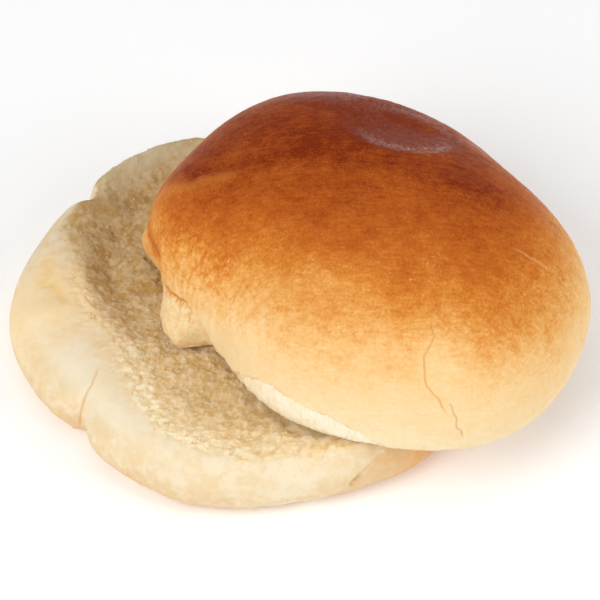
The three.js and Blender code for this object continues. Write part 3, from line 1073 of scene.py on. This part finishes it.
# The torn edge: below this height, at these angles, the crust was pulled off with the next roll
# and shows a strip of white inner skin.
TORN_ANGLES = [172, 184, 190, 199, 205, 211, 220, 228, 235, 246, 258, 269, 277]
TORN_HEIGHTS = [-1, 7.5, 9.6, 10.6, 7.6, 3.4, 3.6, 8, 11.6, 11.8, 9.6, 4.2, -1]
NOT_TORN = -2
TORN_MARGIN = 1.1


def below_torn_edge(points):
    """How far down below the torn edge of the crust each point is, in millimetres."""
    around = np.degrees(np.arctan2(points[:, 1], points[:, 0])) % 360
    edge = np.interp(around, TORN_ANGLES, TORN_HEIGHTS, left=NOT_TORN, right=NOT_TORN)
    uneven = 0.7 * lumps(points, 3.5, seed=15) + 0.35 * lumps(points, 1.4, seed=16)
    return edge + uneven - points[:, 2]


crown_points = points_of(crown_mesh) - crown_shift
crown_lines = [lay_down(crown_points, path, jitter=0.5, seed=11) for _, path, _, _ in CROWN_CREASES]
close = gap_to(crown_points, crown_lines) < CREASE_MARGIN
close |= np.abs(below_torn_edge(crown_points)) < TORN_MARGIN
refine(crown_mesh, close, cuts=1)
crown_points = points_of(crown_mesh) - crown_shift
cracks = [line for (kind, *_), line in zip(CROWN_CREASES, crown_lines) if "crack" in kind]
refine(crown_mesh, gap_to(crown_points, cracks) < CRACK_MARGIN, cuts=1)

crown_points = points_of(crown_mesh) - crown_shift
x, y, z = crown_points.T
crown_around = np.degrees(np.arctan2(y, x)) % 360
crown_from_edge = take_mark(crown_mesh, "from_edge")
carve, creased = press_creases(crown_points, CROWN_CREASES, crown_lines)

# The lips of the front crack stand up a little. The torn strip is sunk, most at the front left, and
# a broken golden line runs along its edge, browner and wider by the lobe. A dry crumb sticks to
# the right side.
LIP_WIDTH = 0.9
LIP_HEIGHT = 0.12
LIP_TOP = (29, 32)
STRIP_DEPTH = 0.25
DEEPER_STRIP = (0.35, 245, 20)
EDGE_LINE = 0.28
BROWNER_EDGE = (190, 24)
BROWNER_LINE = 0.2
EDGE_BREAK = (203.5, 6.5)
STUCK_CRUMB = (50.6, -24.6, 9.2)
STUCK_WIDTH = 0.8
STUCK_HEIGHT = 0.9

creased["lips"] = bell(gap_to(crown_points, cracks[:1]), 0, LIP_WIDTH) * (1 - fade(z, *LIP_TOP))
carve -= LIP_HEIGHT * creased["lips"]
torn_depth = below_torn_edge(crown_points)
on_side = fade(crown_from_edge, 0, 0.6)
strip = fade(torn_depth, -0.1, 0.3) * on_side
strip_depth = STRIP_DEPTH + swell(crown_around, *DEEPER_STRIP)
carve += strip_depth * fade(torn_depth, -0.1, 0.9) * on_side
patchy = fade(lumps(crown_points, 5, seed=17), -0.25, 0.35)
browner = near(crown_around, *BROWNER_EDGE)
torn_line = bell(torn_depth, 0, EDGE_LINE + BROWNER_LINE * browner) * on_side * patchy
creased["torn_line"] = torn_line * (0.5 + 0.5 * browner) * (1 - near(crown_around, *EDGE_BREAK))
stuck = np.linalg.norm(crown_points - STUCK_CRUMB, axis=1)
carve -= STUCK_HEIGHT * bell(stuck, 0, STUCK_WIDTH)

# Browning follows height and the oven's heat from behind, in millimetres up a slanting axis. Places
# that browned more or less: by how much, the x and y of the middle, the spread in x and in y, and
# for some the heights between which it comes in.
HEAT_FROM_BEHIND = 0.35
HEAT_FROM_RIGHT = 0.1
OUTER_SIDE = (24, 44)
HOT_LEFT = (9, 187, 20)
COOL_RIGHT = (8, 355, 20)
BROWNED = {
    "right shoulder": (8, (24, 1), (15, 7), (15, 30)),
    "back left": (9, (-46, 23), (9, 10)),
    "left cheek": (-5, (-44, -8), (7, 6)),
    "front of the top": (-6, (11, 0), (15, 6.5), (30, 36)),
    "right side": (3.5, (42, -6), (9, 12)),
    "right side by the pale line": (3, (31, -15), (9, 8)),
    "front right": (3.5, (31, -35), (11, 11)),
    "front left": (-5, (-16, -28), (15, 6)),
    "front left, lower": (2, (-18, -38), (10, 4)),
    "front, high": (-2.5, (6, -14), (8, 7)),
    # Painted highlight: lighter crust just right of the front crack.
    "front, by the crack": (-3, (17, -43), (5, 5)),
    "in front of the lobe": (-8, (-41, -20), (5, 4), (16, 10)),
    "fold": (9, (-56, 5), (4, 8), (20, 14)),
    "behind the streak": (4, (-34, 27), (11, 11)),
    "low end of the streak": (3, (-43, 11), (6, 6), (26, 30)),
}
# Painted highlight: the crust is lighter about the head of the front crack.
CRACK_HEAD = ((15, 28), (6, 6))
CRACK_HEAD_HIGHLIGHT = 4
# A darker streak over the top and down the left: darker crust, with painted shade above the warm ridge.
STREAK = [(-16, 13.5, 38.9), (-24.2, 9.9, 38), (-30.3, 8.6, 36.6), (-35.2, 10, 34.6),
          (-41.5, 12.4, 30.9), (-45.3, 14.4, 27.8), (-48.9, 17, 23.5)]
STREAK_BROWNING_AND_SHADE = 5
STREAK_WIDTH = 2.4
FLOOR_HOTTER = 4.5

# The browning also carries painted shade along the streak and a painted highlight by the front crack.
heat_and_painted_light = z + HEAT_FROM_BEHIND * y + HEAT_FROM_RIGHT * x
sides = swell(crown_around, *HOT_LEFT) - swell(crown_around, *COOL_RIGHT)
heat_and_painted_light += fade(np.hypot(x, y), *OUTER_SIDE) * sides
for hotter, middle, spread, *heights in BROWNED.values():
    heat_and_painted_light += hotter * spot(x, y, middle, spread) * (fade(z, *heights[0]) if heights else 1)
# Painted highlight about the head of the crack.
heat_and_painted_light -= CRACK_HEAD_HIGHLIGHT * spot(x, z, *CRACK_HEAD) * (y < 0)
# The streak darkens the crust, partly with painted shade above the warm ridge.
streak_gap, _ = follow(crown_points, lay_down(crown_points, STREAK, jitter=1, seed=21))
heat_and_painted_light += STREAK_BROWNING_AND_SHADE * bell(streak_gap, 0, STREAK_WIDTH)
dimple = from_floor(x, y)
heat_and_painted_light += FLOOR_HOTTER * (1 - fade(dimple, 0.65, 1.2))

# The egg pooled on the near slope of the dimple and lies thinner in the rest of it, along the back
# and on the right shoulder. A long patch of the dimple's floor stayed bare.
BARE_MIDDLE = (10.3, 30.2)
BARE_TURN = (0.93, -0.37)
BARE_LENGTH = 8.5
BARE_WIDTH = 2.8
BARE_SHARE = 0.95
NEAR_SLOPE = (30, 22)
LEFT_OF_POOL = (-6, 1)
RIGHT_OF_POOL = (22, 16)
THIN_EGG = 0.26
THICKER_EGG = 0.66
POOL_SHINE = 0.66
BACK_SHINE = 0.32
SHOULDER_SHINE = 0.3
LEAST_SHINE = 0.02

right, back = x - BARE_MIDDLE[0], y - BARE_MIDDLE[1]
lengthways = BARE_TURN[0] * right + BARE_TURN[1] * back
across = -BARE_TURN[1] * right + BARE_TURN[0] * back
bare = 1 - fade(np.hypot(lengthways / BARE_LENGTH, across / BARE_WIDTH), 0.75, 1.25)
covered = 1 - BARE_SHARE * bare
near_slope = fade(dimple, 0.57, 0.8) * fade(y, *NEAR_SLOPE)
pooled = (1 - fade(dimple, 0.97, 1.05)) * (THIN_EGG + THICKER_EGG * near_slope)
glaze = fade(z, 8, 22) * np.maximum.reduce([
    POOL_SHINE * pooled * covered * fade(x, *LEFT_OF_POOL) * fade(x, *RIGHT_OF_POOL),
    BACK_SHINE * fade(0.3 * x + y, 26, 36) * covered,
    SHOULDER_SHINE * fade(x, 34, 46),
    LEAST_SHINE + 0 * x,
])

# Crumb covers the cut face, and at the front a fringe of it shows over the hem. The strip is white
# at the front and browner, flecked skin behind the lobe. The crust is streaky above the lobe.
FRINGE_FRONT = (278, 13)
FRINGE_HEIGHT = (1, 2.6)
WHITE_FRONT = (214, 242)
BEFORE_LOBE = (196, 200)
STREAKY_LEFT = (200, 26)
BITTY_FRONT = (255, 34)
BITTY_HEIGHT = (4, 1.5)

fringe = 1 - fade(crown_from_edge + lumps(crown_points, 1.5, seed=18), *FRINGE_HEIGHT)
fringe *= near(crown_around, *FRINGE_FRONT)
crumb = 1 - fade(crown_from_edge + 0.5 * lumps(crown_points, 2, seed=14), -0.4, 0.5)
crumb = np.maximum(crumb, fade(fringe, 0.3, 0.7))
flecked = fade(torn_depth + lumps(crown_points, 2, seed=19), 3, 0)
flecked *= 1 - fade(crown_around, *BEFORE_LOBE)
streaky = near(crown_around, *STREAKY_LEFT) * fade(z, 2, 9) * (1 - fade(z, 26, 33))
mark(crown_mesh, {"crumb": crumb, "carve": carve, "oven_heat_and_painted_light": heat_and_painted_light, "strip": strip})
mark(crown_mesh, {"white_strip": fade(crown_around, *WHITE_FRONT), "flecked": flecked})
mark(crown_mesh, {"torn": np.maximum(crumb, 0.8 * strip), "glaze": glaze, "streaky": streaky})
mark(crown_mesh, {"bitty": near(crown_around, *BITTY_FRONT) * fade(crown_from_edge, *BITTY_HEIGHT)})
mark(crown_mesh, creased)

# The crust's colours, from the coolest place to the hottest, and those of its torn strip and its
# cracks. Each row of tints is a mark on the mesh, how strongly it shows, and in which colour.
COOL = -14
HOT = 46
BAKE = [
    (0, tint(244, 223, 182)),
    (0.1, tint(241, 215, 167)),
    (0.233, tint(240, 206, 154)),
    (0.333, tint(239, 198, 139)),
    (0.433, tint(235, 182, 113)),
    (0.533, tint(225, 156, 78)),
    (0.633, tint(210, 128, 50)),
    (0.733, tint(193, 104, 36)),
    (0.833, tint(176, 86, 29)),
    (0.933, tint(150, 63, 20)),
    (1, tint(131, 47, 14)),
]
STRIP_WHITE = tint(248, 238, 212)
STRIP_CREAM = tint(238, 216, 172)
PATCH_CREAM = tint(240, 214, 164)
PATCH_GOLD = tint(226, 154, 74)
FLECK = tint(248, 206, 142)
WARM_GOLD = tint(230, 156, 76)
CRACK_GOLD = tint(196, 122, 48)
SLIT_RED = tint(192, 104, 42)
TORN_GOLD = tint(224, 152, 72)
CRUST_TINTS = [
    ("lips", 0.35, FLECK),
    # Painted highlight along the crease on the right side.
    ("highlit_crease", 0.3, FLECK),
    ("warm_line", 0.2, WARM_GOLD),
    ("fold_line", 0.4, WARM_GOLD),
]
CRACK_TINTS = [
    ("torn_line", 0.9, TORN_GOLD),
    ("hairline", 0.5, CRACK_GOLD),
    ("crack", 0.35, CRACK_GOLD),
    ("golden_crack", 0.75, CRACK_GOLD),
    ("slit", 0.9, SLIT_RED),
]

# Patches as in the crumb: width, detail, roughness, levels and strengths. The uneven baking gives
# width, detail and roughness, and then how much hotter or cooler it gets.
FLECKS = (0.9, 3, 0.6, 0.61, 0.77)
FLECK_DRIFTS = (5, 2, 0.5, 0.4, 0.6, 0.15, 0.65)
MOTTLE = (1.8, 4, 0.65, 0.42, 0.6)
FIBRES = (0.8, 3, 0.6, 0.45, 0.65, 0, 0.45)
GLAZE_SPECKLE = (0.8, 3, 0.65, 0.43, 0.58, 0.05, 1.15)
UNEVEN_HEAT = [(12, 3, 0.5, 5), (3, 4, 0.6, 6), (0.7, 3, 0.6, 8)]
BRUSHED_HEAT = 5
STREAKY_HEAT = 11
DRAWN_UP = (1, 1, 0.2)
BRUSH_STROKES = (0.16, 1, 1)

crust_bread, tree, shader, place = new_bread("egg_washed_crust", 0.08)
upright = vector_maths(tree, "MULTIPLY", place, DRAWN_UP)
brushed = vector_maths(tree, "MULTIPLY", place, BRUSH_STROKES)
streaks = maths(tree, "MULTIPLY", two_sided_grain(tree, upright, 1.3, 3), marked(tree, "streaky"))
uneven = [(two_sided_grain(tree, place, *noisy), hotter) for *noisy, hotter in UNEVEN_HEAT]
uneven += [(two_sided_grain(tree, brushed, 0.9), BRUSHED_HEAT), (streaks, STREAKY_HEAT)]
heat_and_light_here = maths(tree, "ADD", marked(tree, "oven_heat_and_painted_light"), scaled_sum(tree, uneven))
browned = add(tree, "ShaderNodeMapRange", {0: heat_and_light_here, 1: COOL, 2: HOT})[0]
fleck = maths(tree, "MULTIPLY", patches(tree, upright, *FLECKS), patches(tree, place, *FLECK_DRIFTS))
fleck = maths(tree, "MULTIPLY", fleck, ease(tree, browned, 0.3, 0.5))
fleck = maths(tree, "MULTIPLY", fleck, ease(tree, browned, 0.6, 0.8, 1, 0.4))
crust = tinted(tree, mix(tree, fleck, colour_ramp(tree, browned, BAKE), FLECK), CRUST_TINTS)
mottle = ease(tree, marked(tree, "flecked"), 0, 1, 0.3, 1)
mottle = maths(tree, "MULTIPLY", patches(tree, place, *MOTTLE), mottle)
fibres = mix(tree, patches(tree, upright, *FIBRES), STRIP_WHITE, STRIP_CREAM)
torn_skin = mix(tree, marked(tree, "white_strip"), mix(tree, mottle, PATCH_CREAM, PATCH_GOLD), fibres)
crust = tinted(tree, mix(tree, marked(tree, "strip"), crust, torn_skin), CRACK_TINTS)
colour = mix(tree, marked(tree, "crumb"), crust, crumb_colour(tree, place))
tree.links.new(colour, shader.inputs["Base Color"])
matt = maths(tree, "MAXIMUM", marked(tree, "crumb"), marked(tree, "strip", 0.7))
worn = maths(tree, "MULTIPLY", two_sided_grain(tree, place, 1.1, 3), 0.16)
gloss = maths(tree, "ADD", ease(tree, browned, 0.3, 0.9, 0.5, 0.4), worn)
tree.links.new(ease(tree, matt, 0, 1, gloss, 0.9), shader.inputs["Roughness"])
finish_with(shader, {"Specular IOR Level": 0.02, "Coat Roughness": 0.22})
egg = maths(tree, "MULTIPLY", marked(tree, "glaze"), patches(tree, place, *GLAZE_SPECKLE))
tree.links.new(egg, shader.inputs["Coat Weight"])
fine = scaled_sum(tree, [(grain(tree, place, 0.4, 3)[0], 1), (grain(tree, brushed, 0.5, 2)[0], 0.6)])
roughen(tree, shader, fine, 0.3, ease(tree, browned, 0.4, 0.95, 0.12, 0.34))

top_half = bake_tree(top_half, relief, {"Bread": crust_bread, "Ripple Height": 0.22})
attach(top_half, "root")
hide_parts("top_half")

# ---------------------------------------------------------------- torn fringe
# More small bits of soft crumb, along the hem of the top half at the front and left. They were
# pulled out of it there when it came off the bottom half and the next roll, and hang on by it.

FRINGE_SIZES = {"Bits On A Square Centimetre": 75, "Largest": 0.45}

torn_fringe = bake_tree(top_half, bits, {"Bread": bit_bread, **FRINGE_SIZES}, "torn_fringe")
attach(torn_fringe, "root")
